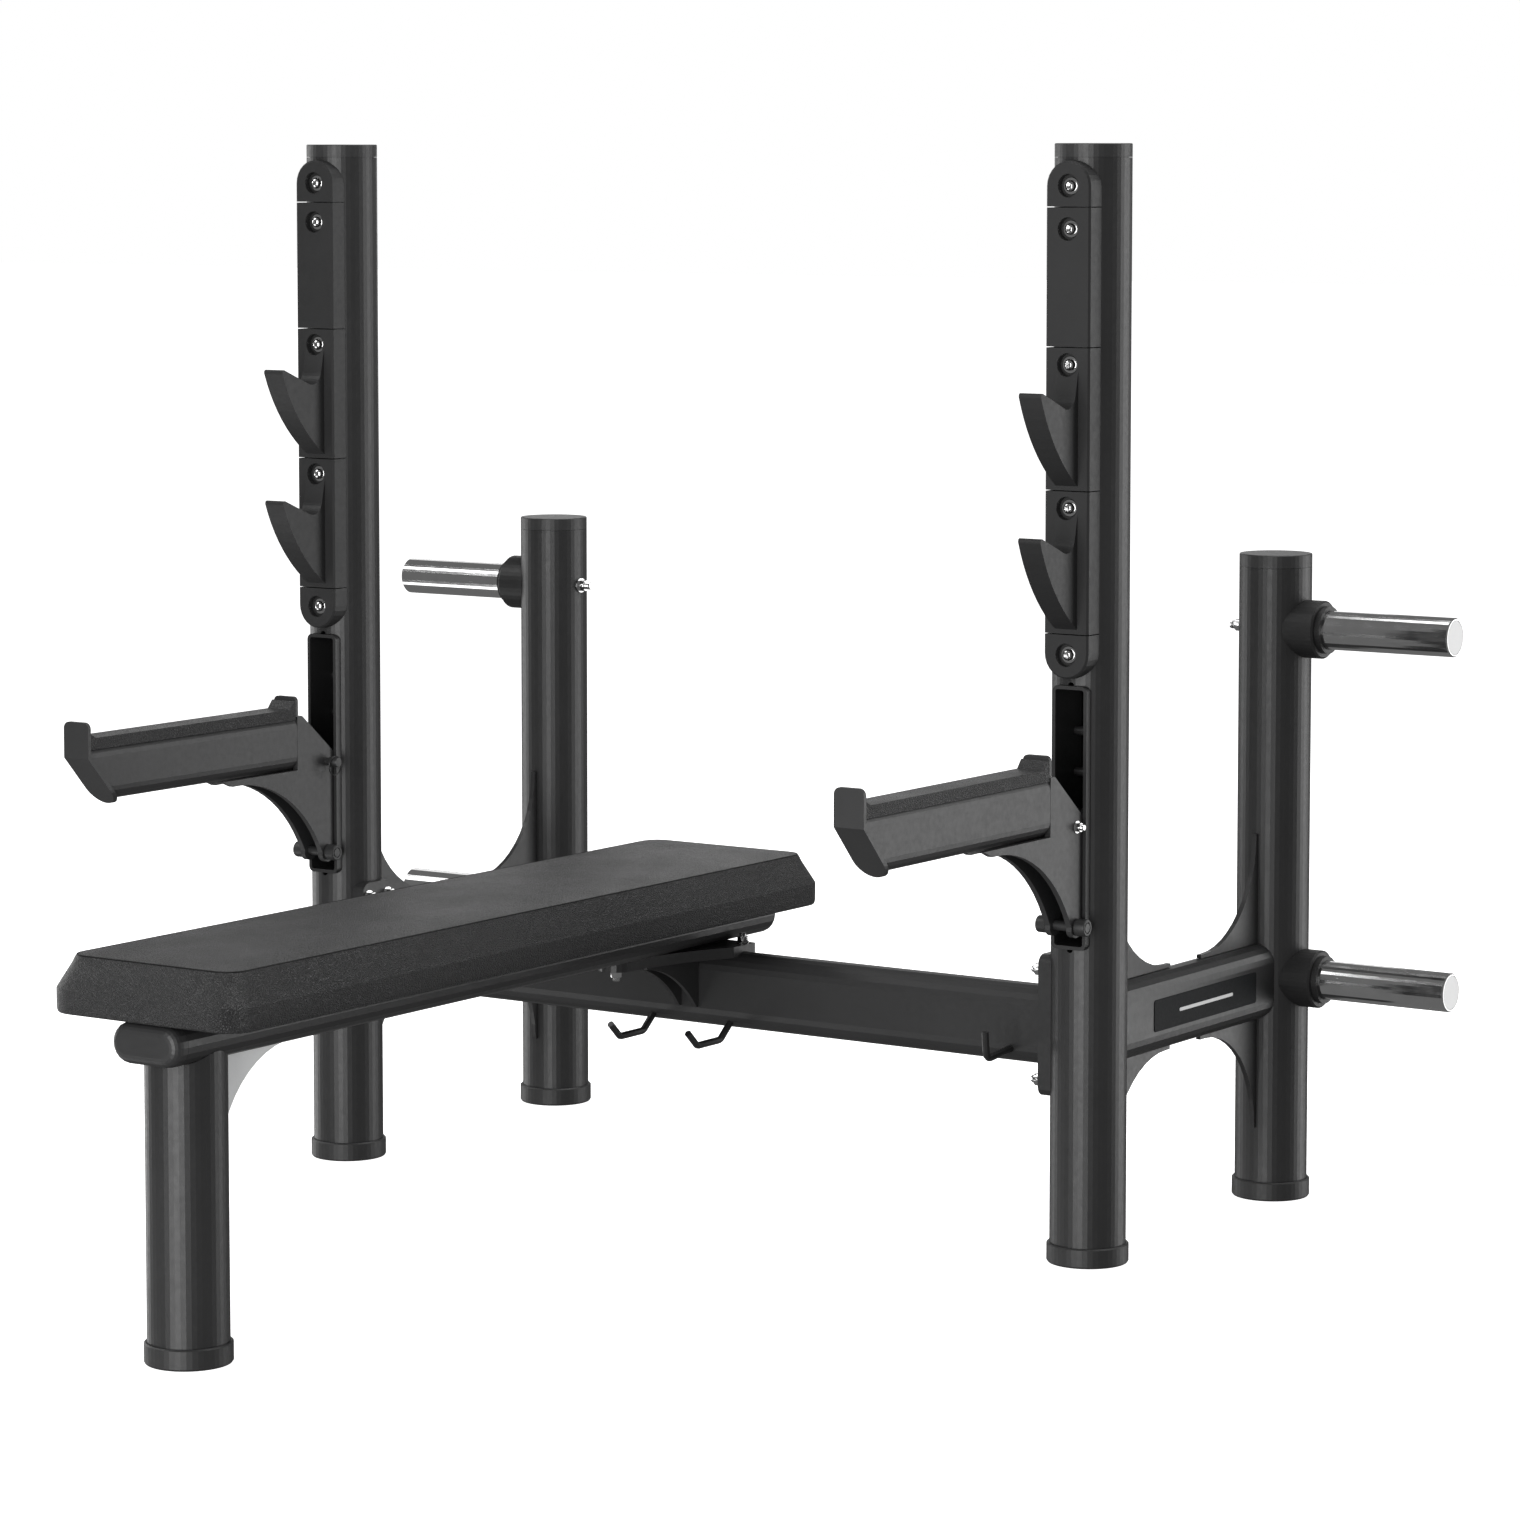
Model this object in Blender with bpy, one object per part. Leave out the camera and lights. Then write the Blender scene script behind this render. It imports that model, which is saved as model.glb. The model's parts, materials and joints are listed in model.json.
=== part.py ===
"""Olympic bench press: a flat bench bolted to a two-upright rack with storage posts behind.

Metres, +Z up.  +X is the lifter's left-right axis, +Y runs from the bench's foot end to the
rear posts, and the origin is on the floor under the middle of the object's box.
"""
import math

import bmesh
import bpy
from mathutils import Vector

# ---------------------------------------------------------------- driving dimensions
GAP = 0.0003                    # clearance between pieces that touch
TUBE_R = 0.04445                # 88.9 mm round tube: uprights, posts and front leg
TUBE_WALL = 0.0035
TUBE_SEGMENTS = 48

UPRIGHT_X = 0.549               # half of the upright spacing
UPRIGHT_TOP = 1.294
POST_BACK = 0.448               # rear posts behind the uprights
POST_TOP = 0.7955
LEG_FRONT = 0.9535              # front leg ahead of the uprights
END_CAP_H = 0.0157
FOOT_R, FOOT_H, FOOT_FLOOR = 0.04785, 0.023, 0.006

OVAL_W, OVAL_H, OVAL_WALL = 0.046, 0.0935, 0.003   # flat-oval tube of the crossbar and side beams
BEAM_Z = 0.2724
GUSSET_T, GUSSET_LONG, GUSSET_TALL, GUSSET_R, GUSSET_LIP = 0.006, 0.142, 0.1345, 0.127, 0.0045

FLANGE_IN, FLANGE_HALF_W, FLANGE_Z0, FLANGE_Z1, FLANGE_CORNER = 0.4984, 0.030, 0.1925, 0.3585, 0.012

SPINE_W, SPINE_H, SPINE_Z = 0.094, 0.045, 0.350    # bench spine, the same oval family laid flat
SPINE_FRONT, SPINE_REAR, SPINE_CAP = -1.022, 0.104, 0.019
SPINE_EDGE = 0.011              # rounding of the spine's two ends

PAD_W, PAD_TOP_W, PAD_FRONT, PAD_REAR = 0.262, 0.226, -1.029, 0.080
PAD_Z0, PAD_CHAMFER_Z, PAD_Z1, PAD_CORNER = 0.3735, 0.401, 0.4375, 0.030

STRIP_FRONT, STRIP_HALF_FRONT, STRIP_HALF_BASE, STRIP_BEVEL = 0.057, 0.0290, 0.0305, 0.0022
STRIP_SEAMS = (1.2218, 1.0630, 0.8996, 0.7357)
STRIP_SEAM_GAP = 0.0012
STRIP_TOP_ARC_Z, STRIP_BOTTOM_ARC_Z = 1.2453, 0.7133
STRIP_BOLT_Z = (1.2460, 1.1970, 1.0430, 0.8798, 0.7118)
BOLT_RECESS_R, BOLT_RECESS_FLOOR = 0.0135, 0.0485
HOOK_HALF_W = 0.0147
NOTCH_Z = (0.9935, 0.8299)
NOTCH_R = 0.0175

SLOT_HALF_W, SLOT_Z0, SLOT_Z1, SLOT_RIM, SLOT_CORNER = 0.0186, 0.3755, 0.6715, 0.0042, 0.003
SLOT_Y0, SLOT_Y1 = -0.0480, 0.0120
PIN_R, PIN_PITCH, PIN_TOP_Z, PIN_COUNT = 0.0053, 0.0476, 0.6190, 5
RELIEF_R = 0.004

ARM_W, ARM_Z0, ARM_Z1, ARM_WALL = 0.035, 0.510, 0.582, 0.003
ARM_FRONT, ARM_PLATE_T, ARM_PLATE_HALF_W = 0.5105, 0.005, 0.0193
ARM_PLATE_TOP, ARM_BEND_Z, ARM_PLATE_BOTTOM = 0.6075, 0.5640, 0.5045
STOP_Y0, STOP_Y1, STOP_TOP = -0.1215, -0.1165, 0.6035
HOOK_PLATE_T, HOOK_PLATE_OUT = 0.007, 0.0177
HOOK_PIN_Z, HOOK_THROAT_R, HOOK_LEG_Y, HOOK_LEG_Z = 0.4762, 0.0056, 0.0115, 0.4640   # hook over its pin
ROLLER_Y, ROLLER_Z, ROLLER_R, ROLLER_OUT, ROD_R = -0.0592, 0.4005, 0.0100, 0.0325, 0.0058

HORN_Z = (0.7045, 0.2744)
HORN_R, HORN_WALL, HORN_TIP = 0.0237, 0.003, 0.7925
HORN_RECESS_R, HORN_RECESS, HORN_END_T = 0.0212, 0.002, 0.006
HORN_SEGMENTS = 40
COLLAR_R, COLLAR_STEP_R, COLLAR_OUT, COLLAR_STEP = 0.0355, 0.0290, 0.0180, 0.0305

WIRE_R = 0.00425                # bent-rod band hooks
BAND_HOOK_X, PEG_X = 0.057, 0.457

Y_SHIFT = 0.5 * ((LEG_FRONT + 0.0755) - (POST_BACK + FOOT_R))   # centres the box on the origin


# ---------------------------------------------------------------- scene and materials
def clear_scene():
    for obj in list(bpy.data.objects):
        bpy.data.objects.remove(obj, do_unlink=True)


def material(name, colour, roughness, metallic):
    mat = bpy.data.materials.new(name)
    mat.use_nodes = True
    shader = mat.node_tree.nodes["Principled BSDF"]
    shader.inputs["Base Color"].default_value = (*colour, 1.0)
    shader.inputs["Roughness"].default_value = roughness
    shader.inputs["Metallic"].default_value = metallic
    mat.diffuse_color = (*colour, 1.0)
    return mat


def add_object(name, bm, mat, smooth_angle=35.0):
    bmesh.ops.recalc_face_normals(bm, faces=bm.faces)
    mesh = bpy.data.meshes.new(name)
    bm.to_mesh(mesh)
    bm.free()
    mesh.shade_smooth()
    mesh.set_sharp_from_angle(angle=math.radians(smooth_angle))
    obj = bpy.data.objects.new(name, mesh)
    bpy.context.scene.collection.objects.link(obj)
    if mat is not None:
        mesh.materials.append(mat)
    return obj


def as_tool(obj):
    """Marks an object as a cutter or a join operand, which isn't part of the model."""
    obj.hide_render = True
    obj.display_type = "WIRE"
    return obj


def combine(target, tool, operation):
    mod = target.modifiers.new(operation.lower(), "BOOLEAN")
    mod.operation = operation
    mod.solver = "EXACT"
    mod.object = as_tool(tool)


def cut(target, *tools):
    for tool in tools:
        combine(target, tool, "DIFFERENCE")


def join(target, *tools):
    for tool in tools:
        combine(target, tool, "UNION")


# ---------------------------------------------------------------- outlines
def arc(centre, radius, start, end, steps):
    """Points on a circle from one angle in degrees to another, both ends included."""
    cu, cv = centre
    angles = (math.radians(start + (end - start) * i / steps) for i in range(steps + 1))
    return [(cu + radius * math.cos(a), cv + radius * math.sin(a)) for a in angles]


def oval(width, height, steps=10, centre=(0.0, 0.0)):
    """Flat-oval outline: two half circles joined by straight sides, along its longer side."""
    cu, cv = centre
    if height >= width:
        r, run = 0.5 * width, 0.5 * (height - width)
        return arc((cu, cv + run), r, 0, 180, steps) + arc((cu, cv - run), r, 180, 360, steps)
    r, run = 0.5 * height, 0.5 * (width - height)
    return arc((cu + run, cv), r, -90, 90, steps) + arc((cu - run, cv), r, 90, 270, steps)


def rounded_box(u0, u1, v0, v1, r_low, r_high, steps=5):
    """Rectangle outline with one corner radius at its low side and one at its high side."""
    return (arc((u1 - r_high, v1 - r_high), r_high, 0, 90, steps)
            + arc((u0 + r_high, v1 - r_high), r_high, 90, 180, steps)
            + arc((u0 + r_low, v0 + r_low), r_low, 180, 270, steps)
            + arc((u1 - r_low, v0 + r_low), r_low, 270, 360, steps))


def fillet(before, corner, after, radius, steps=6):
    """Points that round a corner of an outline."""
    c = Vector(corner)
    a, b = (Vector(before) - c).normalized(), (Vector(after) - c).normalized()
    half = 0.5 * a.angle(b)
    start, end = c + a * radius / math.tan(half), c + b * radius / math.tan(half)
    centre = c + (a + b).normalized() * radius / math.sin(half)
    u, v = start - centre, end - centre
    turn = u.angle(v)
    points = []
    for i in range(steps + 1):
        t = i / steps
        p = centre + (u * math.sin((1 - t) * turn) + v * math.sin(t * turn)) / math.sin(turn)
        points.append((p.x, p.y))
    return points


def arc_through(first, middle, last, steps=10):
    """Points on the circle through three points, from the first to the last."""
    (ax, ay), (bx, by), (cx, cy) = first, middle, last
    d = 2 * (ax * (by - cy) + bx * (cy - ay) + cx * (ay - by))
    sa, sb, sc = ax * ax + ay * ay, bx * bx + by * by, cx * cx + cy * cy
    u = (sa * (by - cy) + sb * (cy - ay) + sc * (ay - by)) / d
    v = (sa * (cx - bx) + sb * (ax - cx) + sc * (bx - ax)) / d
    radius = math.hypot(ax - u, ay - v)
    start, end = math.degrees(math.atan2(ay - v, ax - u)), math.degrees(math.atan2(cy - v, cx - u))
    if abs(end - start) > 180:
        end += 360 if end < start else -360
    return arc((u, v), radius, start, end, steps)


# ---------------------------------------------------------------- solids
AXES = {"X": lambda u, v, w: (w, u, v), "Y": lambda u, v, w: (u, w, v), "Z": lambda u, v, w: (u, v, w)}


def rings_to_mesh(rings):
    """Closed solid through rings of points, with flat ends."""
    bm = bmesh.new()
    loops = [[bm.verts.new(p) for p in ring] for ring in rings]
    for low, high in zip(loops, loops[1:]):
        for i in range(len(low)):
            j = (i + 1) % len(low)
            bm.faces.new((low[i], low[j], high[j], high[i]))
    bm.faces.new(reversed(loops[0]))
    bm.faces.new(loops[-1])
    return bm


def prism(name, outline, axis, low, high, mat=None):
    """Outline extruded along X (outline in Y, Z), Y (in X, Z) or Z (in X, Y)."""
    place = AXES[axis]
    rings = [[place(u, v, w) for u, v in outline] for w in (low, high)]
    return add_object(name, rings_to_mesh(rings), mat)


def loft(name, levels, axis, mat=None):
    """Solid through (outline, position) levels along an axis."""
    place = AXES[axis]
    return add_object(name, rings_to_mesh([[place(u, v, w) for u, v in o] for o, w in levels]), mat)


def turned(name, profile, centre, axis, mat=None, segments=TUBE_SEGMENTS):
    """Closed profile of (radius, position) turned about an axis through centre, the object's origin."""
    place = AXES[axis]
    bm = bmesh.new()
    loops = []
    for i in range(segments):
        a = 2 * math.pi * i / segments
        ring = []
        for r, h in profile:
            if r == 0 and loops:
                ring.append(loops[0][len(ring)])
            else:
                ring.append(bm.verts.new(place(r * math.cos(a), r * math.sin(a), h)))
        loops.append(ring)
    for i in range(segments):
        now, nxt = loops[i], loops[(i + 1) % segments]
        for k in range(len(profile)):
            m = (k + 1) % len(profile)
            corners = list(dict.fromkeys((now[k], nxt[k], nxt[m], now[m])))
            if len(corners) > 2:
                bm.faces.new(corners)
    obj = add_object(name, bm, mat)
    obj.location = centre
    return obj


def swept_rod(name, path, radius, mat, sides=10):
    """Round rod along a path in a plane of constant X."""
    rings = []
    for i, point in enumerate(path):
        before, after = Vector(path[max(i - 1, 0)]), Vector(path[min(i + 1, len(path) - 1)])
        along = (after - before).normalized()
        normal = along.cross(Vector((1, 0, 0)))
        ring = []
        for k in range(sides):
            a = 2 * math.pi * k / sides
            ring.append(Vector(point) + radius * (math.cos(a) * Vector((1, 0, 0)) + math.sin(a) * normal))
        rings.append(ring)
    return add_object(name, rings_to_mesh(rings), mat)


# ---------------------------------------------------------------- round tubes, caps and feet
def tube(name, x, y, top, mat):
    z0 = FOOT_FLOOR + GAP
    inner = TUBE_R - TUBE_WALL
    profile = [(TUBE_R, z0), (TUBE_R, top), (inner, top), (inner, z0)]
    return turned(name, profile, (x, y, 0), "Z", mat)


def end_cap(name, x, y, top, mat):
    """Flush plug: a disc as wide as the tube, with a shorter skirt inside it."""
    seam, plug, deep = top - END_CAP_H, TUBE_R - TUBE_WALL - GAP, top - END_CAP_H - 0.012
    edge = 0.0008
    profile = [(0, top), (TUBE_R - edge, top), (TUBE_R, top - edge), (TUBE_R, seam), (plug, seam),
               (plug, deep), (0, deep)]
    return turned(name, profile, (x, y, 0), "Z", mat)


def foot(name, x, y, mat):
    """Rubber cup that the tube stands in."""
    inner = TUBE_R + GAP
    profile = [(0, 0), (FOOT_R - 0.0015, 0), (FOOT_R, 0.002), (FOOT_R, FOOT_H - 0.0015),
               (FOOT_R - 0.0015, FOOT_H), (inner, FOOT_H), (inner, FOOT_FLOOR), (0, FOOT_FLOOR)]
    return turned(name, profile, (x, y, 0), "Z", mat)


def clearance_tube(name, x, y):
    profile = [(0, 0.0), (TUBE_R + GAP, 0.0), (TUBE_R + GAP, UPRIGHT_TOP), (0, UPRIGHT_TOP)]
    return as_tool(turned(name, profile, (x, y, 0), "Z"))


# ---------------------------------------------------------------- frame weldments
def hollow_oval(name, outline_args, axis, low, high, mat, extra=()):
    """Oval tube with optional welded pieces, bored through after they are joined."""
    width, height, centre = outline_args
    body = prism(name, oval(width, height, centre=centre), axis, low, high, mat)
    join(body, *extra)
    bore = oval(width - 2 * OVAL_WALL, height - 2 * OVAL_WALL, centre=centre)
    cut(body, prism(f"{name}_bore", bore, axis, low - 0.05, high + 0.05))
    return body


def crossbar(clearances, mat):
    """Oval crossbar with a bolting flange at each end, coped to the uprights."""
    flange = rounded_box(-FLANGE_HALF_W, FLANGE_HALF_W, FLANGE_Z0, FLANGE_Z1, FLANGE_CORNER, FLANGE_CORNER)
    flanges = [prism(f"flange_{s}", flange, "X", min(s * FLANGE_IN, s * 0.52), max(s * FLANGE_IN, s * 0.52))
               for s in (-1, 1)]
    body = hollow_oval("crossbar", (OVAL_W, OVAL_H, (0, BEAM_Z)), "X", -0.50, 0.50, mat, flanges)
    cut(body, *clearances)
    return body


def side_beam(side, x, clearances, mat):
    body = hollow_oval(f"side_beam_{side}", (OVAL_W, OVAL_H, (x, BEAM_Z)), "Y", 0.01, POST_BACK - 0.01, mat)
    cut(body, *clearances)
    return body


def gusset_outline(y_wall, z_shelf, toward, down):
    """Concave corner plate: its straight sides run along a wall at y_wall and a shelf at z_shelf."""
    reach, lip = GUSSET_R + GUSSET_LIP, GUSSET_LIP
    hollow = [(reach + GUSSET_R * math.cos(a), reach + GUSSET_R * math.sin(a))
              for a in (math.radians(180 + 90 * i / 12) for i in range(13))]
    corner = [(0, 0), (0, GUSSET_TALL), (lip, GUSSET_TALL)]
    points = corner + hollow + [(GUSSET_LONG, lip), (GUSSET_LONG, 0)]
    return [(y_wall + toward * u, z_shelf + down * v) for u, v in points]


def gusset(name, x, y_wall, z_shelf, toward, down, mat):
    outline = gusset_outline(y_wall, z_shelf, toward, down)
    return prism(name, outline, "X", x - GUSSET_T / 2, x + GUSSET_T / 2, mat)


def side_gussets(side, x, mat):
    reach = TUBE_R + GAP
    ends = {"front": (reach, 1), "rear": (POST_BACK - reach, -1)}
    shelves = {"upper": (BEAM_Z + OVAL_H / 2 + GAP, 1), "lower": (BEAM_Z - OVAL_H / 2 - GAP, -1)}
    for end, (y, toward) in ends.items():
        for level, (z, down) in shelves.items():
            gusset(f"gusset_{end}_{level}_{side}", x, y, z, toward, down, mat)


# ---------------------------------------------------------------- bench
def bench_leg(mat):
    leg = tube("bench_leg", 0.0, -LEG_FRONT, SPINE_Z, mat)
    saddle = oval(SPINE_W + 2 * GAP, SPINE_H + 2 * GAP, steps=16, centre=(0, SPINE_Z))
    cut(leg, prism("spine_clearance", saddle, "Y", SPINE_FRONT, SPINE_REAR))
    return leg


def spine_end(face, inward):
    """Ovals that shrink along a quarter circle towards an end face, inward being -1 or 1."""
    levels = []
    for i in range(6):
        a = math.radians(90 * i / 5)
        inset = 2 * SPINE_EDGE * (1 - math.cos(a))
        outline = oval(SPINE_W - inset, SPINE_H - inset, centre=(0, SPINE_Z))
        levels.append((outline, face + inward * SPINE_EDGE * (1 - math.sin(a))))
    return levels


def bench_spine(mat):
    """Oval spine, open at the front under its cap and closed by a rounded end at the rear."""
    start = SPINE_FRONT + SPINE_CAP
    outer = (oval(SPINE_W, SPINE_H, centre=(0, SPINE_Z)), start)
    spine = loft("bench_spine", [outer] + spine_end(SPINE_REAR, -1), "Y", mat)
    bore = oval(SPINE_W - 2 * OVAL_WALL, SPINE_H - 2 * OVAL_WALL, centre=(0, SPINE_Z))
    cut(spine, prism("bench_spine_bore", bore, "Y", start - SPINE_CAP, SPINE_REAR - SPINE_EDGE))
    return spine


def spine_front_cap(mat):
    """Rounded cap over the spine's front end."""
    seam = (oval(SPINE_W, SPINE_H, centre=(0, SPINE_Z)), SPINE_FRONT + SPINE_CAP - GAP)
    return loft("spine_front_cap", [seam] + spine_end(SPINE_FRONT, 1), "Y", mat)


def bench_bracket(mat):
    """Mounting plate on the crossbar, narrowing to a round tab ahead, with two curved ribs below."""
    half, tab_r, tab_y, bar = 0.067, 0.021, -0.173, OVAL_W / 2
    side = arc_through((tab_r, tab_y), (0.0375, -0.088), (half, -bar), 10)
    plan = [(half, bar), (-half, bar)] + [(-u, v) for u, v in reversed(side)]
    plan += arc((0, tab_y), tab_r, 180, 360, 10)[1:-1] + side
    z0, z1 = 0.3140, SPINE_Z - SPINE_H / 2 - GAP
    plate = prism("bench_bracket", plan, "Z", z0, z1, mat)
    hollow = arc_through((-0.131, 0.3095), (-0.070, 0.2890), (-bar - 0.004, 0.2497), 10)
    rib = [(-bar - 0.030, z0 + 0.004), (-0.133, z0 + 0.004)] + hollow + [(-bar, 0.2497), (-bar, z0 + 0.004)]
    join(plate, *[prism(f"rib_{s}", rib, "X", s * 0.0127 - 0.0025, s * 0.0127 + 0.0025) for s in (-1, 1)])
    grown = oval(OVAL_W + 2 * GAP, OVAL_H + 2 * GAP, centre=(0, BEAM_Z))
    cut(plate, prism("crossbar_clearance", grown, "X", -0.3, 0.3))
    return plate


def bench_pad(mat):
    """Plain solid of the pad: upright lower sides, sloping upper sides and a smaller flat top."""
    def level(width, front, rear, corner):
        return rounded_box(-width / 2, width / 2, front, rear, corner, corner, 6)

    slope = (PAD_W - PAD_TOP_W) / 2
    levels = [(level(PAD_W, PAD_FRONT, PAD_REAR, PAD_CORNER), z) for z in (PAD_Z0, PAD_CHAMFER_Z)]
    levels.append((level(PAD_TOP_W, PAD_FRONT + slope, PAD_REAR - slope, PAD_CORNER - 0.008), PAD_Z1))
    return loft("bench_pad", levels, "Z", mat)


# ---------------------------------------------------------------- bent-rod hooks on the crossbar
def band_hook(side, x, mat):
    """Open trapezoid loop that hangs ahead of the crossbar's lower edge."""
    root, low_back, low_front, tip = (-0.0140, 0.2355), (-0.038, 0.2156), (-0.0866, 0.2156), (-0.106, 0.2335)
    flat = [root] + fillet(root, low_back, low_front, 0.008, 4)
    flat += fillet(low_back, low_front, tip, 0.008, 4) + [tip]
    rod = swept_rod(f"band_hook_{side}", [(x, y, z) for y, z in flat], WIRE_R, mat)
    cut(rod, bpy.data.objects["bar_clearance"])


def band_peg(side, x, mat):
    """Straight peg that turns up at its end."""
    root, bend, tip = (-0.0150, 0.2440), (-0.0760, 0.2385), (-0.0790, 0.2710)
    flat = [root] + fillet(root, bend, tip, 0.009, 5) + [tip]
    rod = swept_rod(f"band_peg_{side}", [(x, y, z) for y, z in flat], WIRE_R, mat)
    cut(rod, bpy.data.objects["bar_clearance"])


# ---------------------------------------------------------------- upright strips and J-hooks
def strip_outline(half, z0, z1, round_top, round_bottom):
    """Front view of one strip segment, with a half-round end where it is the last one."""
    if round_top:
        upper = arc((0, STRIP_TOP_ARC_Z), half, 0, 180, 14)
    else:
        upper = [(half, z1), (-half, z1)]
    if round_bottom:
        return upper + arc((0, STRIP_BOTTOM_ARC_Z), half, 180, 360, 14)
    return upper + [(-half, z0), (half, z0)]


def strip_segment(name, x, z0, z1, bolt_z, clearance, mat, round_top=False, round_bottom=False, horn=None):
    halves = ((STRIP_HALF_BASE, -0.026), (STRIP_HALF_FRONT, STRIP_BEVEL - STRIP_FRONT),
              (STRIP_HALF_FRONT - STRIP_BEVEL, -STRIP_FRONT))
    levels = []
    for half, y in halves:
        outline = strip_outline(half, z0, z1, round_top, round_bottom)
        levels.append(([(x + u, v) for u, v in outline], y))
    segment = loft(name, levels, "Y", mat)
    if horn is not None:
        join(segment, prism(f"{name}_horn", horn, "X", x - HOOK_HALF_W, x + HOOK_HALF_W))
    recess = arc((x, bolt_z), BOLT_RECESS_R, 0, 345, 23)
    cut(segment, prism(f"{name}_recess", recess, "Y", -0.08, -BOLT_RECESS_FLOOR), clearance)
    return segment


def horn_outline(notch_z):
    """Side view of a J-hook: a ramp down the strip, a round seat, a rising lip and a curved underside."""
    ramp_top, seat_corner = (-STRIP_FRONT + 0.001, notch_z + 0.0480), (-0.0674, notch_z - 0.0065)
    lip_root, lip_tip = (-0.1335, notch_z + 0.0200), (-0.1400, notch_z + 0.0216)
    under_start, under_mid = (-0.1385, notch_z + 0.0150), (-0.1060, notch_z - 0.0427)
    under_end = (-0.0565, notch_z - 0.0885)
    outline = [(-0.050, notch_z - 0.0885), (-0.050, ramp_top[1]), ramp_top]
    outline += fillet(ramp_top, seat_corner, lip_root, NOTCH_R, 8)
    outline += fillet(lip_root, lip_tip, under_start, 0.0032, 3)
    return outline + arc_through(under_start, under_mid, under_end, 10)


def strips(side, x, clearance, mat):
    tops = (STRIP_TOP_ARC_Z + STRIP_HALF_BASE, *STRIP_SEAMS)
    bottoms = (*STRIP_SEAMS, STRIP_BOTTOM_ARC_Z - STRIP_HALF_BASE)
    names = ("strip_cap_top", "strip_spacer", "j_hook_upper", "j_hook_lower", "strip_cap_bottom")
    half_gap = STRIP_SEAM_GAP / 2
    for i, name in enumerate(names):
        horn = horn_outline(NOTCH_Z[i - 2]) if name.startswith("j_hook") else None
        strip_segment(f"{name}_{side}", x, bottoms[i] + half_gap, tops[i] - half_gap, STRIP_BOLT_Z[i],
                      clearance, mat, round_top=i == 0, round_bottom=i == 4, horn=horn)


# ---------------------------------------------------------------- slot frame with its cross-pins
def slot_frame(side, x, mat):
    rim = SLOT_RIM
    outer = rounded_box(x - SLOT_HALF_W - rim, x + SLOT_HALF_W + rim, SLOT_Z0 - rim, SLOT_Z1 + rim,
                        SLOT_CORNER + rim, SLOT_CORNER + rim)
    inner = rounded_box(x - SLOT_HALF_W, x + SLOT_HALF_W, SLOT_Z0, SLOT_Z1, SLOT_CORNER, SLOT_CORNER)
    frame = prism(f"slot_frame_{side}", outer, "Y", SLOT_Y0, SLOT_Y1, mat)
    cut(frame, prism(f"slot_window_{side}", inner, "Y", SLOT_Y0 - 0.02, SLOT_Y1 + 0.02))
    reach = SLOT_HALF_W + rim / 2
    for i in range(PIN_COUNT):
        circle = arc((0.0, PIN_TOP_Z - i * PIN_PITCH), PIN_R, 0, 330, 11)
        join(frame, prism(f"cross_pin_{side}_{i}", circle, "X", x - reach, x + reach))
    return frame


def cut_slot(upright, side, x):
    rim = SLOT_RIM + GAP
    opening = rounded_box(x - SLOT_HALF_W - rim, x + SLOT_HALF_W + rim, SLOT_Z0 - rim, SLOT_Z1 + rim,
                          SLOT_CORNER + rim, SLOT_CORNER + rim)
    tools = [prism(f"slot_cut_{side}", opening, "Y", -0.06, SLOT_Y1 + 0.005)]
    for label, z in (("top", SLOT_Z1 + rim), ("bottom", SLOT_Z0 - rim)):
        tools.append(prism(f"relief_{label}_{side}", arc((x, z), RELIEF_R, 0, 330, 11), "Y", -0.06, -0.03))
    cut(upright, *tools)


# ---------------------------------------------------------------- spotter arms
def arm_tube(side, x, mat):
    middle = (x, (ARM_Z0 + ARM_Z1) / 2)
    height = ARM_Z1 - ARM_Z0
    body = prism(f"arm_{side}", oval(ARM_W, height, centre=middle), "Y", -0.52, -0.112, mat)
    slope = (ARM_BEND_Z - ARM_PLATE_BOTTOM) * 0.92
    front, deep = -ARM_FRONT + ARM_PLATE_T / 2, 0.45
    far, high = -0.6, 0.7
    ahead = [(far, high), (front, high), (front, ARM_BEND_Z), (front + slope, ARM_PLATE_BOTTOM),
             (front + slope, deep), (far, deep)]
    cut(body, prism(f"arm_mitre_{side}", ahead, "X", x - 0.05, x + 0.05))
    return body, middle, height, slope


def front_plate(side, x, slope):
    """End plate: upright above its bend, and sloping back under the arm below it."""
    t, y = ARM_PLATE_T, -ARM_FRONT
    low, knee, high = ARM_PLATE_BOTTOM, ARM_BEND_Z, ARM_PLATE_TOP
    profile = [(y, high), (y, knee), (y + slope, low), (y + slope + t * 1.45, low),
               (y + t, knee + 0.0015), (y + t, high)]
    plate = prism(f"arm_front_plate_{side}", profile, "X", x - ARM_PLATE_HALF_W, x + ARM_PLATE_HALF_W)
    half = ARM_PLATE_HALF_W
    face = rounded_box(x - half, x + half, low, high, half - 0.0005, 0.008, 8)
    combine(plate, prism(f"arm_front_face_{side}", face, "Y", y - 0.02, y + 0.12), "INTERSECT")
    return plate


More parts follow.
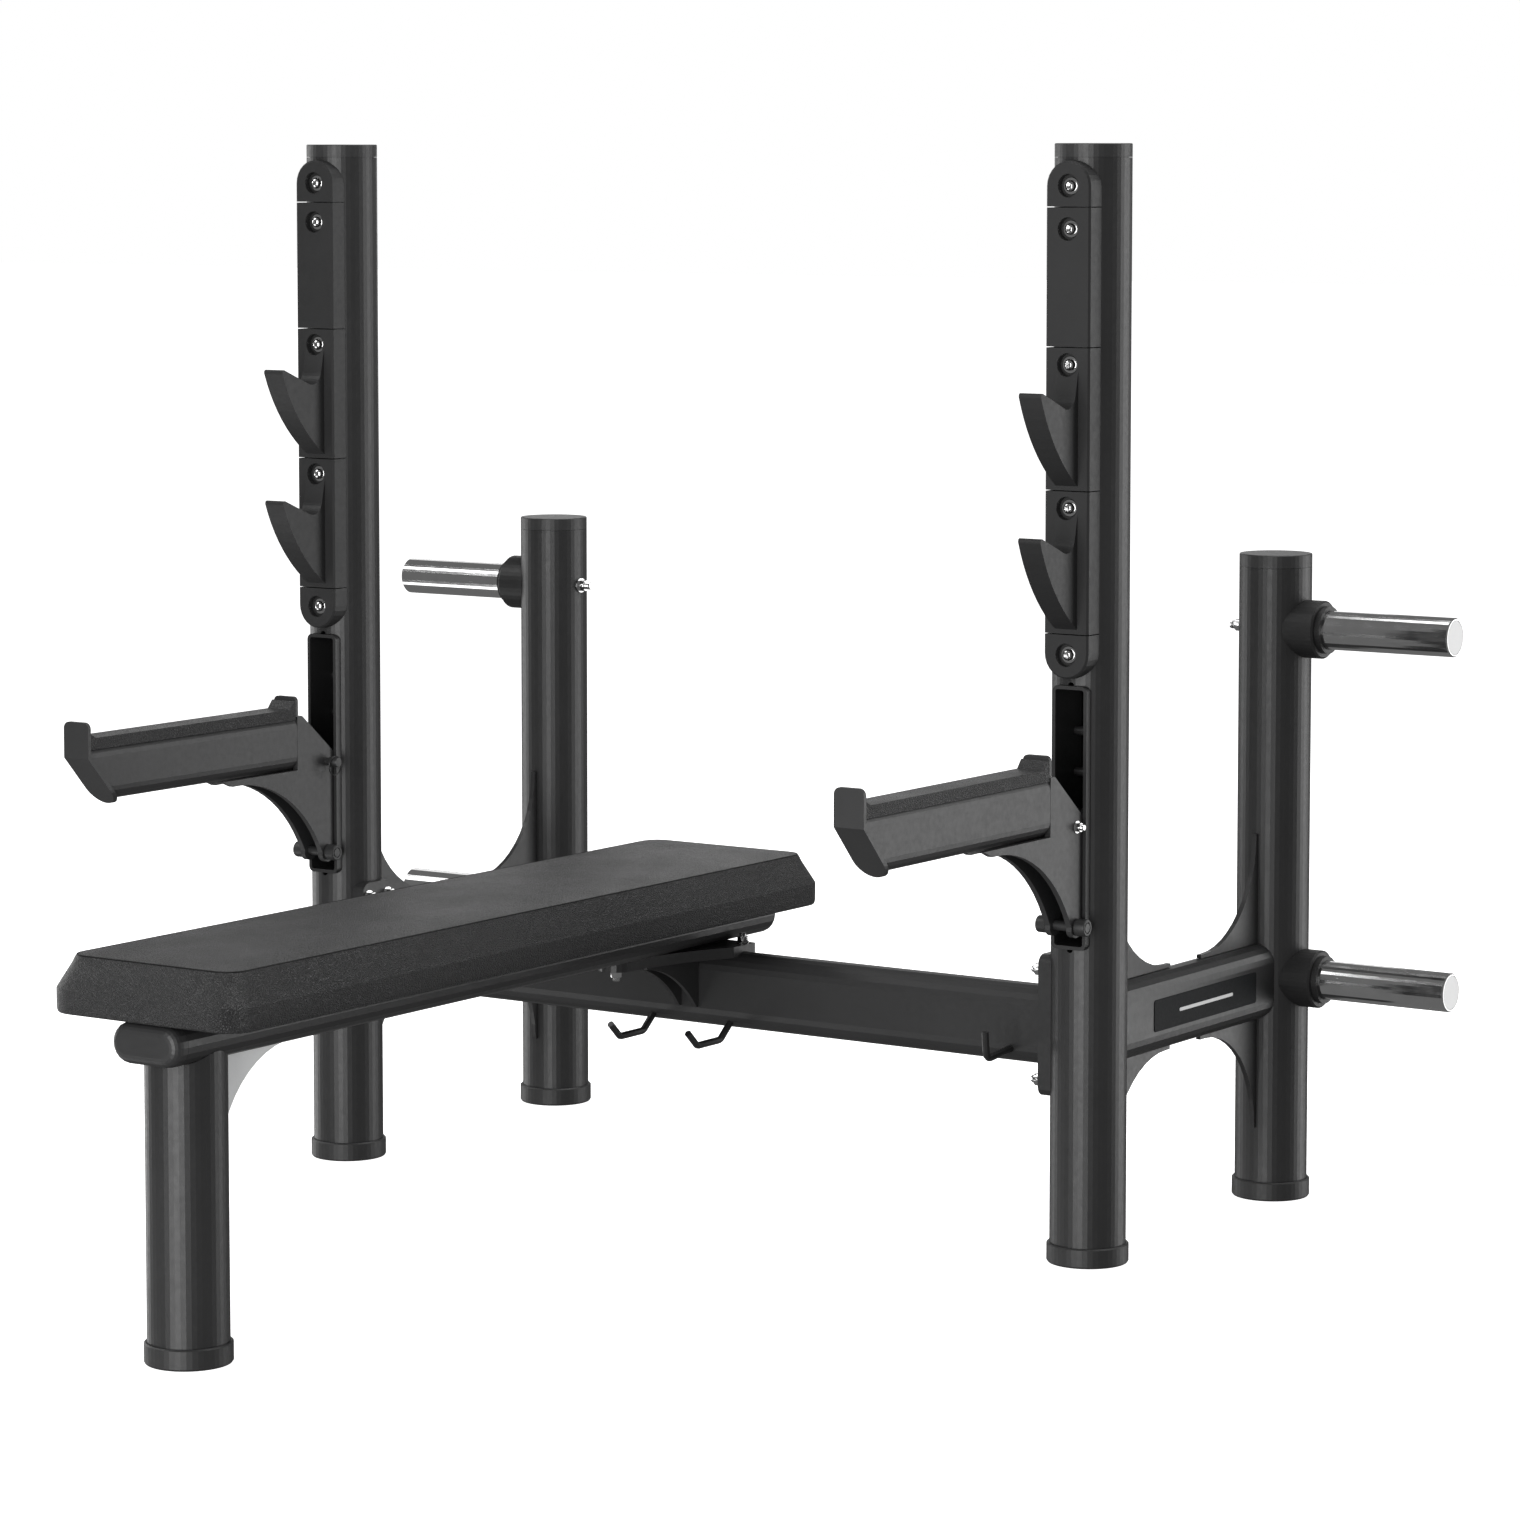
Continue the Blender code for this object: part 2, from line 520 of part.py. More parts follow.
def hook_plate_outline():
    """Side view of a hook plate: tongue under the arm, roller end, hook over a cross-pin, shoulder."""
    under = arc_through((-0.2440, 0.5028), (-0.1165, 0.4600), (-0.0705, 0.4010), 14)
    end = arc((ROLLER_Y, ROLLER_Z), 0.0125, 200, 340, 8)
    throat = arc((0.0, HOOK_PIN_Z), HOOK_THROAT_R, 180, 0, 8)
    back = [(-0.0475, 0.4250), (-0.0150, 0.4560), (-HOOK_THROAT_R, 0.4600)] + throat
    leg = [(HOOK_THROAT_R, HOOK_LEG_Z), (HOOK_LEG_Y, HOOK_LEG_Z), (HOOK_LEG_Y, 0.4798)]
    tongue = [(-0.1090, 0.5787), (-0.1185, 0.5787), (-0.1185, 0.5105), (-0.2625, 0.5105)]
    return under + end + back + leg + tongue


def arm(side, x, mat):
    body, middle, height, slope = arm_tube(side, x, mat)
    outline = hook_plate_outline()
    plates = []
    for s in (-1, 1):
        edges = sorted((x + s * HOOK_PLATE_OUT, x + s * (HOOK_PLATE_OUT - HOOK_PLATE_T)))
        plates.append(prism(f"hook_plate_{side}_{s}", outline, "X", *edges))
    stop = rounded_box(x - 0.0174, x + 0.0174, ARM_Z1 - 0.0025, STOP_TOP, 0.001, 0.006)
    stop_plate = prism(f"arm_stop_{side}", stop, "Y", STOP_Y0, STOP_Y1)
    join(body, *plates, front_plate(side, x, slope), stop_plate)
    bore = oval(ARM_W - 2 * ARM_WALL, height - 2 * ARM_WALL, centre=middle)
    rod_hole = arc((ROLLER_Y, ROLLER_Z), ROD_R + 2 * GAP, 0, 345, 23)
    cut(body, prism(f"arm_bore_{side}", bore, "Y", -0.44, -0.05),
        prism(f"arm_rod_hole_{side}", rod_hole, "X", x - 0.05, x + 0.05))
    return body


def arm_pad(side, x, mat):
    """Wear pad that saddles the arm, with a wedge up to the rear stop and a low one at the front."""
    front, rear, low, top = -ARM_FRONT + ARM_PLATE_T + GAP, STOP_Y0 - GAP, 0.5745, 0.5885
    front_wedge = [(front + 0.0100, top), (front, top + 0.0055)]
    rear_wedge = [(rear, 0.5985), (rear - 0.0030, 0.5985), (rear - 0.0115, top)]
    profile = [(front, low), (rear, low)] + rear_wedge + front_wedge
    pad = prism(f"arm_pad_{side}", profile, "X", x - 0.0180, x + 0.0180, mat)
    grown = oval(ARM_W + 2 * GAP, ARM_Z1 - ARM_Z0 + 2 * GAP, centre=(x, (ARM_Z0 + ARM_Z1) / 2))
    cut(pad, prism(f"arm_clearance_{side}", grown, "Y", -0.56, -0.08))
    return pad


def roller(side, x, mat):
    """Cross rod with a rubber roller outside each hook plate, turning as one."""
    inner, outer, edge = HOOK_PLATE_OUT + 0.0005, ROLLER_OUT, 0.0012
    half = [(ROD_R, inner), (ROLLER_R - edge / 2, inner), (ROLLER_R, inner + edge / 2),
            (ROLLER_R, outer - edge), (ROLLER_R - edge, outer), (0, outer)]
    profile = [(r, -w) for r, w in reversed(half)] + half
    return turned(f"arm_roller_{side}", profile, (x, ROLLER_Y, ROLLER_Z), "X", mat, 32)


# ---------------------------------------------------------------- weight storage horns
def weight_horn(label, s, z, mat):
    """Chrome tube, closed at its tip by a disc with a shallow recess for the end plug."""
    root, tip, r = UPRIGHT_X + TUBE_R + GAP, HORN_TIP, HORN_R
    chamfer, wall = 0.0015, r - HORN_WALL
    profile = [(0, tip - HORN_RECESS), (HORN_RECESS_R, tip - HORN_RECESS), (HORN_RECESS_R, tip),
               (r - chamfer, tip), (r, tip - chamfer), (r, root), (wall, root),
               (wall, tip - HORN_END_T), (0, tip - HORN_END_T)]
    placed = [(radius, s * w) for radius, w in profile]
    return turned(f"weight_horn_{label}", placed, (0, POST_BACK, z), "X", mat, HORN_SEGMENTS)


def horn_collar(label, s, z, clearance, mat):
    """Rubber collar with a stepped face, coped to the post."""
    bore, surface = HORN_R + GAP, UPRIGHT_X + TUBE_R
    back, step, face = UPRIGHT_X + 0.028, surface + COLLAR_OUT + 0.006, surface + COLLAR_STEP
    profile = [(bore, face), (COLLAR_STEP_R, face), (COLLAR_STEP_R, step), (COLLAR_R - 0.002, step),
               (COLLAR_R, step - 0.002), (COLLAR_R, back), (bore, back)]
    placed = [(radius, s * w) for radius, w in profile]
    collar = turned(f"horn_collar_{label}", placed, (0, POST_BACK, z), "X", mat, HORN_SEGMENTS)
    cut(collar, clearance)
    return collar


# ---------------------------------------------------------------- assembly
def add_empty(name, location, parent=None):
    empty = bpy.data.objects.new(name, None)
    bpy.context.scene.collection.objects.link(empty)
    empty.location = location
    empty.parent = parent
    return empty


def hang(side, x, base):
    """Parents one arm's pieces to an empty on the pin that the arm lifts off."""
    lift = add_empty(f"arm_lift_{side}", (x, 0.0, HOOK_PIN_Z), base)
    for name in ("arm", "arm_pad", "arm_roller"):
        piece = bpy.data.objects[f"{name}_{side}"]
        piece.location -= lift.location
        piece.parent = lift


def build_sides(mats, post_clearances):
    """Everything on one side of the rack, made for both sides."""
    paint, plastic, rubber = mats["frame_paint"], mats["strip_plastic"], mats["foot_rubber"]
    for side, s in (("left", -1), ("right", 1)):
        x = s * UPRIGHT_X
        at_upright, at_post = post_clearances[side]
        upright = tube(f"upright_{side}", x, 0.0, UPRIGHT_TOP - END_CAP_H - GAP, paint)
        cut_slot(upright, side, x)
        tube(f"rear_post_{side}", x, POST_BACK, POST_TOP - END_CAP_H - GAP, paint)
        end_cap(f"upright_cap_{side}", x, 0.0, UPRIGHT_TOP, mats["cap_plastic"])
        end_cap(f"rear_post_cap_{side}", x, POST_BACK, POST_TOP, mats["cap_plastic"])
        foot(f"foot_upright_{side}", x, 0.0, rubber)
        foot(f"foot_rear_{side}", x, POST_BACK, rubber)
        side_beam(side, x, (at_upright, at_post), paint)
        side_gussets(side, x, paint)
        strips(side, x, at_upright, plastic)
        slot_frame(side, x, mats["slot_paint"])
        arm(side, x, mats["arm_paint"])
        arm_pad(side, x, mats["arm_pad_plastic"])
        roller(side, x, mats["roller_rubber"])
        band_hook(side, s * BAND_HOOK_X, mats["rod_paint"])
        band_peg(side, s * PEG_X, mats["rod_paint"])
        for level, z in zip(("upper", "lower"), HORN_Z):
            weight_horn(f"{level}_{side}", s, z, mats["horn_chrome"])
            horn_collar(f"{level}_{side}", s, z, at_post, mats["collar_rubber"])


def build():
    clear_scene()
    mats = {
        "frame_paint": material("frame_paint", (0.055, 0.055, 0.057), 0.45, 0.0),
        "slot_paint": material("slot_paint", (0.048, 0.048, 0.050), 0.45, 0.0),
        "arm_paint": material("arm_paint", (0.060, 0.060, 0.062), 0.45, 0.0),
        "rod_paint": material("rod_paint", (0.030, 0.030, 0.031), 0.40, 0.0),
        "strip_plastic": material("strip_plastic", (0.045, 0.045, 0.046), 0.50, 0.0),
        "cap_plastic": material("cap_plastic", (0.050, 0.050, 0.051), 0.50, 0.0),
        "arm_pad_plastic": material("arm_pad_plastic", (0.045, 0.045, 0.047), 0.60, 0.0),
        "foot_rubber": material("foot_rubber", (0.030, 0.030, 0.030), 0.55, 0.0),
        "collar_rubber": material("collar_rubber", (0.022, 0.022, 0.022), 0.60, 0.0),
        "roller_rubber": material("roller_rubber", (0.035, 0.035, 0.036), 0.50, 0.0),
        "horn_chrome": material("horn_chrome", (0.80, 0.80, 0.80), 0.08, 1.0),
        "bare_plate": material("bare_plate", (0.80, 0.82, 0.82), 0.60, 0.0),
        "pad_leather": material("pad_leather", (0.050, 0.050, 0.051), 0.55, 0.0),
    }
    paint = mats["frame_paint"]
    clearances = {side: (clearance_tube(f"upright_clearance_{side}", s * UPRIGHT_X, 0.0),
                         clearance_tube(f"post_clearance_{side}", s * UPRIGHT_X, POST_BACK))
                  for side, s in (("left", -1), ("right", 1))}
    grown = oval(OVAL_W + 2 * GAP, OVAL_H + 2 * GAP, steps=16, centre=(0, BEAM_Z))
    as_tool(prism("bar_clearance", grown, "X", -0.55, 0.55))

    build_sides(mats, clearances)
    crossbar([clearances[side][0] for side in ("left", "right")], paint)
    bench_leg(paint)
    foot("foot_front", 0.0, -LEG_FRONT, mats["foot_rubber"])
    bench_spine(paint)
    spine_front_cap(mats["cap_plastic"])
    leg_back, spine_under = -LEG_FRONT + TUBE_R + GAP, SPINE_Z - SPINE_H / 2 - GAP
    gusset("leg_gusset", 0.0, leg_back, spine_under, 1, -1, mats["bare_plate"])
    bench_bracket(paint)
    bench_pad(mats["pad_leather"])

    base = add_empty("rack_base", (0.0, Y_SHIFT, 0.0))
    for side, s in (("left", -1), ("right", 1)):
        hang(side, s * UPRIGHT_X, base)
    for obj in bpy.data.objects:
        if obj.parent is None and obj != base:
            obj.parent = base


build()
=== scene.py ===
import json
import math

import bmesh
import bpy
from mathutils import Matrix, Vector


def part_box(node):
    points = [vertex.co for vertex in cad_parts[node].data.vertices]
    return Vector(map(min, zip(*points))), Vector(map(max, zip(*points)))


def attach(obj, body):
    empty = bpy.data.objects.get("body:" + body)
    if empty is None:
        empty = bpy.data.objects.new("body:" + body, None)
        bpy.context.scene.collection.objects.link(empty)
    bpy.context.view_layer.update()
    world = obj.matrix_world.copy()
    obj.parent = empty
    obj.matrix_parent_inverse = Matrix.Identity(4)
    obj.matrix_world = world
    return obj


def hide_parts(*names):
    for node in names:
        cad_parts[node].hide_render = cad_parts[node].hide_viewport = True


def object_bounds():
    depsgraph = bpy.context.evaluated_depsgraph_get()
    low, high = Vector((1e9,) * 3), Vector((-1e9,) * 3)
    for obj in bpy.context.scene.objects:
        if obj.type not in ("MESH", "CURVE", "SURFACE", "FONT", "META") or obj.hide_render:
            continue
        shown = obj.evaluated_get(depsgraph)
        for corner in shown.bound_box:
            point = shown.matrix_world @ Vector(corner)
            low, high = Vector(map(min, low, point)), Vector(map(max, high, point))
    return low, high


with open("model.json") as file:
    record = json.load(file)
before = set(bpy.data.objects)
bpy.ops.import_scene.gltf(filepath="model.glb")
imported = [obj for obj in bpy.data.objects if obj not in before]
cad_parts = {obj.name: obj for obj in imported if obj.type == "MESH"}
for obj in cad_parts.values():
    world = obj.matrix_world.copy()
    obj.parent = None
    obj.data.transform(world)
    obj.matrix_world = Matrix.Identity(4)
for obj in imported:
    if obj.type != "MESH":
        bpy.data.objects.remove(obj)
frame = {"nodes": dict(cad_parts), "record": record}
cad_low, cad_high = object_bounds()

# ---------------------------------------------------------------- places read from the frame
SIDES = (("left", -1), ("right", 1))


def middle(node):
    low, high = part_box(node)
    return (low + high) / 2


UPRIGHT = {side: middle(f"upright_{side}") for side, _ in SIDES}
POST = {side: middle(f"rear_post_{side}") for side, _ in SIDES}
TUBE_R = (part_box("upright_right")[1].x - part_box("upright_right")[0].x) / 2
UP_Y = UPRIGHT["right"].y


# ---------------------------------------------------------------- material building blocks
def new_material(name):
    mat = bpy.data.materials.new(name)
    mat.use_nodes = True
    tree = mat.node_tree
    return mat, tree.nodes, tree.links, tree.nodes["Principled BSDF"]


def object_coords(nodes, links, stretch=(1, 1, 1), turn=(0, 0, 0)):
    """Object coordinates, scaled and turned, so that a pattern keeps its real size."""
    coords = nodes.new("ShaderNodeTexCoord")
    mapping = nodes.new("ShaderNodeMapping")
    mapping.inputs["Scale"].default_value = stretch
    mapping.inputs["Rotation"].default_value = [math.radians(a) for a in turn]
    links.new(coords.outputs["Object"], mapping.inputs["Vector"])
    return mapping.outputs["Vector"]


def noise(nodes, links, vector, scale, detail=3.0, roughness=0.55):
    tex = nodes.new("ShaderNodeTexNoise")
    tex.inputs["Scale"].default_value = scale
    tex.inputs["Detail"].default_value = detail
    tex.inputs["Roughness"].default_value = roughness
    links.new(vector, tex.inputs["Vector"])
    return tex.outputs["Fac"]


def remap(nodes, links, value, from_range, to_range):
    node = nodes.new("ShaderNodeMapRange")
    node.inputs["From Min"].default_value, node.inputs["From Max"].default_value = from_range
    node.inputs["To Min"].default_value, node.inputs["To Max"].default_value = to_range
    links.new(value, node.inputs["Value"])
    return node.outputs["Result"]


def shade_mix(nodes, links, factor, dark, light):
    """Mixes two greys (or colours) by a 0 to 1 value."""
    mix = nodes.new("ShaderNodeMix")
    mix.data_type = "RGBA"
    mix.inputs["A"].default_value = (*dark, 1.0)
    mix.inputs["B"].default_value = (*light, 1.0)
    links.new(factor, mix.inputs["Factor"])
    return mix.outputs["Result"]


def add_bump(nodes, links, shader, height, strength, distance, below=None):
    bump = nodes.new("ShaderNodeBump")
    bump.inputs["Strength"].default_value = strength
    bump.inputs["Distance"].default_value = distance
    links.new(height, bump.inputs["Height"])
    if below is not None:
        links.new(below, bump.inputs["Normal"])
    links.new(bump.outputs["Normal"], shader.inputs["Normal"])
    return bump.outputs["Normal"]


def coated(name, grey, roughness, grain_scale=1100.0, grain=0.10, tint=(1.0, 1.0, 1.02), specular=0.5):
    """Powder coat or moulded plastic: fine orange peel, slow tone drift and uneven gloss."""
    mat, nodes, links, shader = new_material(name)
    vector = object_coords(nodes, links)
    drift = remap(nodes, links, noise(nodes, links, vector, 9.0, 2.0), (0.3, 0.7), (0.0, 1.0))
    dark, light = [0.90 * grey * t for t in tint], [1.10 * grey * t for t in tint]
    links.new(shade_mix(nodes, links, drift, dark, light), shader.inputs["Base Color"])
    gloss = noise(nodes, links, vector, 160.0, 3.0)
    uneven = remap(nodes, links, gloss, (0.3, 0.7), (roughness - 0.04, roughness + 0.05))
    links.new(uneven, shader.inputs["Roughness"])
    shader.inputs["Specular IOR Level"].default_value = specular
    peel = noise(nodes, links, vector, grain_scale, 2.0)
    add_bump(nodes, links, shader, peel, grain, 0.0004)
    return mat


def leather(name, grey, roughness, cell_scale, depth, tint=(1.0, 1.0, 1.02)):
    """Embossed upholstery: pebbles between creases, with finer pores over them, and painted shade that
    darkens the creases and lightens the pebble tops.
    """
    mat, nodes, links, shader = new_material(name)
    vector = object_coords(nodes, links, stretch=(1.0, 0.8, 1.15), turn=(24, 0, 18))
    warp = nodes.new("ShaderNodeMixRGB")
    warp.inputs["Fac"].default_value = 0.0035
    wobble = nodes.new("ShaderNodeTexNoise")
    wobble.inputs["Scale"].default_value = 240.0
    links.new(vector, wobble.inputs["Vector"])
    links.new(vector, warp.inputs["Color1"])
    links.new(wobble.outputs["Color"], warp.inputs["Color2"])
    cells = nodes.new("ShaderNodeTexVoronoi")
    cells.feature = "DISTANCE_TO_EDGE"
    cells.inputs["Scale"].default_value = cell_scale
    links.new(warp.outputs["Color"], cells.inputs["Vector"])
    crease = remap(nodes, links, cells.outputs["Distance"], (0.0, 0.32), (0.0, 1.0))
    pores = noise(nodes, links, vector, cell_scale * 2.6, 2.0)
    drift = noise(nodes, links, vector, 14.0, 2.0)
    # Painted shade: the base colour is darker in the creases and lighter on the pebble tops, following the
    # same mask as the bump.
    tone = shade_mix(nodes, links, crease, [0.72 * grey * t for t in tint], [1.08 * grey * t for t in tint])
    links.new(tone, shader.inputs["Base Color"])
    uneven = remap(nodes, links, drift, (0.3, 0.7), (roughness - 0.04, roughness + 0.05))
    links.new(uneven, shader.inputs["Roughness"])
    fine = add_bump(nodes, links, shader, pores, 0.25, depth * 0.5)
    add_bump(nodes, links, shader, crease, 0.75, depth, fine)
    return mat


def metal(name, grey, roughness, scuff=0.0):
    """Plated steel: hazy roughness and, on request, fine straight scuffs along X in worn patches."""
    mat, nodes, links, shader = new_material(name)
    vector = object_coords(nodes, links)
    shader.inputs["Metallic"].default_value = 1.0
    haze = noise(nodes, links, vector, 60.0, 4.0)
    dark, light = [grey * 0.92] * 3, [grey * 1.05] * 3
    links.new(shade_mix(nodes, links, haze, dark, light), shader.inputs["Base Color"])
    rough = remap(nodes, links, haze, (0.3, 0.7), (roughness, roughness + 0.05))
    if scuff > 0:
        drawn = object_coords(nodes, links, stretch=(0.04, 1.0, 1.0))
        lines = remap(nodes, links, noise(nodes, links, drawn, 900.0, 2.0), (0.60, 0.74), (0.0, 1.0))
        worn = remap(nodes, links, noise(nodes, links, vector, 24.0, 2.0), (0.45, 0.65), (0.0, scuff))
        add = nodes.new("ShaderNodeMath")
        add.operation = "MULTIPLY_ADD"
        links.new(lines, add.inputs[0])
        links.new(worn, add.inputs[1])
        links.new(rough, add.inputs[2])
        rough = add.outputs["Value"]
        add_bump(nodes, links, shader, lines, 0.12, 0.0001)
    links.new(rough, shader.inputs["Roughness"])
    return mat


def plain_print(name, colour, roughness, specular=0.5):
    """Printed or moulded colour with a trace of unevenness."""
    mat, nodes, links, shader = new_material(name)
    shader.inputs["Specular IOR Level"].default_value = specular
    vector = object_coords(nodes, links)
    drift = noise(nodes, links, vector, 300.0, 2.0)
    dark, light = [0.97 * c for c in colour], [min(1.0, 1.02 * c) for c in colour]
    tone = shade_mix(nodes, links, drift, dark, light)
    links.new(tone, shader.inputs["Base Color"])
    uneven = remap(nodes, links, drift, (0.3, 0.7), (roughness - 0.03, roughness + 0.03))
    links.new(uneven, shader.inputs["Roughness"])
    return mat


def make_materials():
    return {
        "frame_paint": coated("charcoal_powder_coat", 0.019, 0.38),
        "slot_paint": coated("slot_powder_coat", 0.018, 0.40),
        "arm_paint": coated("arm_powder_coat", 0.026, 0.44),
        "rod_paint": coated("rod_powder_coat", 0.014, 0.34, 900.0, 0.05),
        "strip_plastic": coated("strip_moulding", 0.020, 0.48, 1500.0, 0.14, specular=0.36),
        "cap_plastic": coated("cap_moulding", 0.024, 0.42, 1500.0, 0.12),
        "arm_pad_plastic": leather("arm_pad_grain", 0.030, 0.44, 420.0, 0.0009),
        "foot_rubber": coated("foot_rubber", 0.018, 0.46, 1400.0, 0.10),
        "collar_rubber": coated("collar_rubber", 0.012, 0.46, 1400.0, 0.08),
        "roller_rubber": coated("roller_rubber", 0.020, 0.42, 1400.0, 0.08),
        "horn_chrome": metal("horn_chrome", 0.80, 0.08, 0.20),
        "bolt_chrome": metal("bolt_chrome", 0.75, 0.10),
        "bare_plate": plain_print("bare_plate", (0.90, 0.91, 0.91), 0.55),
        "pad_leather": leather("pad_leather", 0.021, 0.40, 400.0, 0.0012),
        "seam_cord": coated("seam_cord", 0.006, 0.55, 900.0, 0.10, specular=0.2),
        "plug_white": plain_print("plug_white", (0.82, 0.82, 0.82), 0.42),
        "badge_black": plain_print("badge_black", (0.004, 0.005, 0.006), 0.55, 0.12),
        "badge_print": plain_print("badge_print", (0.62, 0.62, 0.62), 0.45),
    }


# ---------------------------------------------------------------- mesh building blocks
def finish_piece(name, bm, mat, body, smooth_angle=38.0, replaces=()):
    bmesh.ops.recalc_face_normals(bm, faces=bm.faces)
    mesh = bpy.data.meshes.new(name)
    bm.to_mesh(mesh)
    bm.free()
    mesh.shade_smooth()
    mesh.set_sharp_from_angle(angle=math.radians(smooth_angle))
    mesh.materials.append(mat)
    piece = bpy.data.objects.new(name, mesh)
    bpy.context.scene.collection.objects.link(piece)
    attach(piece, body)
    if replaces:
        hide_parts(*replaces)
    return piece


def facing(direction):
    """Rotation that takes +Z to a direction."""
    return Vector(direction).normalized().to_track_quat("Z", "Y").to_matrix().to_4x4()


def placed(point, direction):
    return Matrix.Translation(Vector(point)) @ facing(direction)


def band(bm, low, high):
    """Quads between two rings with the same number of vertices."""
    for i in range(len(low)):
        j = (i + 1) % len(low)
        bm.faces.new((low[i], low[j], high[j], high[i]))


def skin(bm, rings, place):
    """Closed surface through equal rings of points, placed by a matrix."""
    loops = [[bm.verts.new(place @ Vector(p)) for p in ring] for ring in rings]
    for low, high in zip(loops, loops[1:]):
        band(bm, low, high)
    bm.faces.new(list(reversed(loops[0])))
    bm.faces.new(loops[-1])


ROUND = 48                      # points round a bolt


def circle(radius, height, count):
    angles = [2 * math.pi * i / count for i in range(count)]
    return [(radius * math.cos(a), radius * math.sin(a), height) for a in angles]


def hexagon(across, height, count, corner_pull=0.0):
    """Hexagon of that width across its flats, walked with as many points as a circle."""
    points = []
    for i in range(count):
        a = 2 * math.pi * i / count
        off = (a % (math.pi / 3)) - math.pi / 6
        r = 0.5 * across / math.cos(off)
        r = r + (0.5 * across - r) * corner_pull
        points.append((r * math.cos(a), r * math.sin(a), height))
    return points


def skin_loop(bm, rings):
    """Closed tube-like surface whose last ring joins the first."""
    loops = [[bm.verts.new(p) for p in ring] for ring in rings]
    for k, low in enumerate(loops):
        band(bm, low, loops[(k + 1) % len(loops)])


def turn_profile(bm, profile, place, count):
    """Solid of revolution from (radius, height) pairs; both ends are closed by flat discs."""
    skin(bm, [circle(r, h, count) for r, h in profile], place)


def add_washer(bm, place, radius, hole, thick):
    """Flat ring with rounded edges, as one closed band."""
    edge = min(0.3 * thick, 0.0005)
    outline = [(hole, edge), (hole + edge, 0), (radius - edge, 0), (radius, edge), (radius, thick - edge),
               (radius - edge, thick), (hole + edge, thick), (hole, thick - edge)]
    skin_loop(bm, [[place @ Vector(p) for p in circle(r, h, ROUND)] for r, h in outline])


def add_socket_head(bm, place, radius, height, socket, base_height=0.0012):
    """Button head: short cylinder, domed top and a hexagonal socket sunk into it."""
    rings = [circle(radius, 0, ROUND), circle(radius, base_height, ROUND)]
    steps = 6
    rim = 0.62 * socket
    for i in range(1, steps + 1):
        t = i / steps
        r = radius + (rim - radius) * t
        dome = math.sqrt(max(0.0, 1 - (r / radius) ** 2)) / math.sqrt(1 - (rim / radius) ** 2)
        rings.append(circle(r, base_height + (height - base_height) * dome, ROUND))
    rings.append(hexagon(socket, height - 0.0003, ROUND))
    rings.append(hexagon(socket, 0.35 * height, ROUND))
    skin(bm, rings, place)


def add_hex(bm, place, across, height):
    """Hexagonal nut or bolt head with the usual turned chamfer on its corners."""
    chamfer, face_r = 0.0012, 0.44 * across
    rings = [hexagon(across, 0, ROUND), hexagon(across, height - chamfer, ROUND)]
    rings += [hexagon(across, height, ROUND, 0.95), circle(face_r, height, ROUND)]
    skin(bm, rings, place)


def add_thread_end(bm, place, radius, height):
    """Threaded bolt end: shallow rounded grooves and a chamfered tip."""
    profile = [(radius * 0.90, 0.0)]
    pitch = 0.0015
    turns = max(1, int((height - 0.001) / pitch))
    for i in range(turns):
        profile += [(radius, (i + 0.35) * pitch), (radius * 0.90, (i + 0.95) * pitch)]
    profile += [(radius * 0.97, height - 0.0012), (radius * 0.80, height)]
    turn_profile(bm, profile, place, 36)


def hex_bolt(name, place, washer, head, thread, mat, body="frame"):
    """Washer (radius, hole, thickness), hex (across flats, height) and bolt end (radius, height)."""
    bm = bmesh.new()
    add_washer(bm, place, *washer)
    add_hex(bm, place @ Matrix.Translation((0, 0, washer[2])), *head)
    add_thread_end(bm, place @ Matrix.Translation((0, 0, washer[2] + head[1])), *thread)
    finish_piece(name, bm, mat, body)


def bevelled(obj, width):
    """Softens the edges of a CAD piece for the light to catch, leaving its mesh as it is."""
    mod = obj.modifiers.new("edge", "BEVEL")
    mod.width = width
    mod.segments = 2
    mod.limit_method = "ANGLE"
    mod.angle_limit = math.radians(40)
    mod.harden_normals = True
    mod.use_clamp_overlap = True


# ---------------------------------------------------------------- CAD nodes: finish
EDGE_WIDTH = {"j_hook": 0.0018, "arm_left": 0.0010, "arm_right": 0.0010, "arm_pad": 0.0012, "gusset": 0.0012,
              "leg_gusset": 0.0012, "bench_bracket": 0.0015, "strip_spacer": 0.0005, "strip_cap": 0.0008,
              "slot_frame": 0.0006, "crossbar": 0.0008, "horn_collar": 0.0008, "foot": 0.0008,
              "weight_horn": 0.0008, "upright_cap": 0.0006, "rear_post_cap": 0.0006}


def dress_nodes(mats):
    """Gives each CAD node its slot's material, and softens the edges that catch the light."""
    slots = {entry["node"]: entry["material_slot"] for entry in frame["record"]["subparts"]}
    for name, obj in frame["nodes"].items():
        obj.data.materials.clear()
        obj.data.materials.append(mats[slots[name]])
        for start, width in EDGE_WIDTH.items():
            if name.startswith(start):
                bevelled(obj, width)
                break


